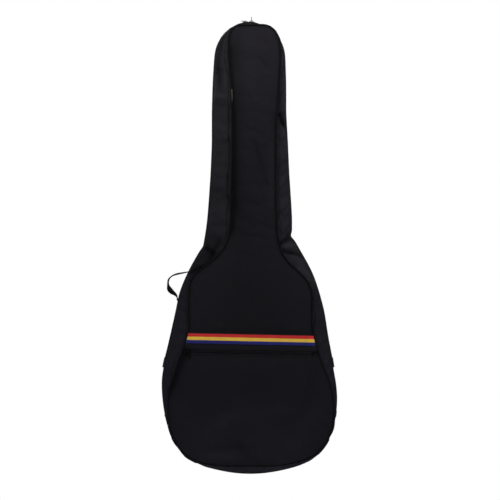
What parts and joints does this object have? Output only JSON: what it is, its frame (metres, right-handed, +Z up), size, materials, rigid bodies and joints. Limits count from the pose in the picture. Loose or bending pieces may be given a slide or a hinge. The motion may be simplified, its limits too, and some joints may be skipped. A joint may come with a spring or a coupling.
{
  "type": "padded gig bag",
  "caption": "Padded soft bag for a full-size guitar, with a wrap-round zip, a fold-down front, a zipped front pocket under a striped ribbon, a carry handle and back straps.",
  "frame": {"origin": "middle of the eye in the right main slider's pull, which the bag hangs from", "axes": "+Z up as the bag hangs, +X to the right of someone who faces the ribbon and pocket, front towards -Y"},
  "size_m": [0.4098, 0.1413, 1.0638],
  "materials": {
    "outer_cloth": "plain-woven polyester, dull",
    "side_wall_padding": "plain-woven polyester over thin foam",
    "foam_core": "closed-cell foam",
    "lining_cloth": "thin smooth lining",
    "piping_cloth": "cloth folded over a cord",
    "zip_tape": "herringbone zip tape",
    "zip_coil": "nylon coil",
    "striped_ribbon": "woven ribbon, three stripes",
    "tag_cloth": "blank satin tag",
    "webbing": "ribbed webbing",
    "black_zinc": "black enamelled zinc, rubbed at the edges",
    "adjuster_plastic": "moulded plastic",
    "strap_cloth": "plain-woven polyester over foam"
  },
  "bodies": {
    "bag": {"back_shell": "outer_cloth", "back_foam": "foam_core", "back_lining": "lining_cloth", "back_gusset": "side_wall_padding", "back_piping": "piping_cloth", "back_zip_tape": "zip_tape", "back_zip_coil": "zip_coil", "lower_front_shell": "outer_cloth", "lower_front_foam": "foam_core", "lower_front_lining": "lining_cloth", "lower_gusset": "side_wall_padding", "bottom_gusset": "side_wall_padding", "lower_piping": "piping_cloth", "lower_zip_tape": "zip_tape", "lower_zip_coil": "zip_coil", "zip_tab_left": "webbing", "zip_tab_right": "webbing", "pocket_header": "outer_cloth", "pocket_panel": "outer_cloth", "ribbon": "striped_ribbon", "pocket_tape_upper": "zip_tape", "pocket_tape_lower": "zip_tape", "pocket_coil_upper": "zip_coil", "pocket_coil_lower": "zip_coil", "handle_patch_upper": "webbing", "handle_patch_lower": "webbing", "strap_yoke": "webbing", "strap_pad_left": "strap_cloth", "strap_pad_right": "strap_cloth", "strap_web_left": "webbing", "strap_web_right": "webbing", "strap_wing_left": "webbing", "strap_wing_right": "webbing"},
    "flap": {"flap_shell": "outer_cloth", "flap_foam": "foam_core", "flap_lining": "lining_cloth", "flap_gusset": "side_wall_padding", "flap_piping": "piping_cloth", "flap_zip_tape": "zip_tape", "flap_zip_coil": "zip_coil", "seam_tag": "tag_cloth"},
    "slider_left": {"slider_left": "black_zinc"},
    "slider_right": {"slider_right": "black_zinc"},
    "pull_left": {"pull_left": "black_zinc"},
    "pull_right": {"pull_right": "black_zinc"},
    "pocket_slider": {"pocket_slider": "black_zinc"},
    "pocket_pull": {"pocket_pull": "black_zinc"},
    "carry_handle": {"carry_handle": "webbing"},
    "adjuster_left": {"adjuster_left": "adjuster_plastic"},
    "adjuster_right": {"adjuster_right": "adjuster_plastic"}
  },
  "joints": [
    {"name": "flap_fold", "type": "hinge", "parent": "bag", "child": "flap", "pos_m": [-0.00379, -0.056, -0.72522], "axis": [1, 0, 0], "range_deg": [0, 150]},
    {"name": "slider_left_run", "type": "hinge", "parent": "bag", "child": "slider_left", "pos_m": [-0.00379, 0, -0.09322], "axis": [0, -1, 0], "range_deg": [0, 75]},
    {"name": "slider_right_run", "type": "hinge", "parent": "bag", "child": "slider_right", "pos_m": [-0.00379, 0, -0.09322], "axis": [0, 1, 0], "range_deg": [0, 80]},
    {"name": "pull_left_tip", "type": "hinge", "parent": "slider_left", "child": "pull_left", "pos_m": [-0.01468, 0, -0.007], "axis": [0, 1, 0], "range_deg": [0, 150]},
    {"name": "pull_right_tip", "type": "hinge", "parent": "slider_right", "child": "pull_right", "pos_m": [0, 0, -0.0064], "axis": [0, 1, 0], "range_deg": [-75, 75]},
    {"name": "pocket_slider_run", "type": "slide", "parent": "bag", "child": "pocket_slider", "axis": [0.9998, 0, -0.0209], "range_m": [0, 0.276]},
    {"name": "pocket_pull_swing", "type": "hinge", "parent": "pocket_slider", "child": "pocket_pull", "pos_m": [-0.14526, -0.05715, -0.77425], "axis": [0, 1, 0], "range_deg": [-12, 12]},
    {"name": "handle_tip", "type": "hinge", "parent": "bag", "child": "carry_handle", "pos_m": [-0.16743, 0.02401, -0.65822], "axis": [0.3746, -0.0175, 0.927], "range_deg": [-18, 18]},
    {"name": "adjuster_left_run", "type": "slide", "parent": "bag", "child": "adjuster_left", "axis": [-0.4323, -0.0968, -0.8965], "range_m": [-0.024, 0.04]},
    {"name": "adjuster_right_run", "type": "slide", "parent": "bag", "child": "adjuster_right", "axis": [0.4323, -0.0968, -0.8965], "range_m": [-0.024, 0.04]}
  ]
}
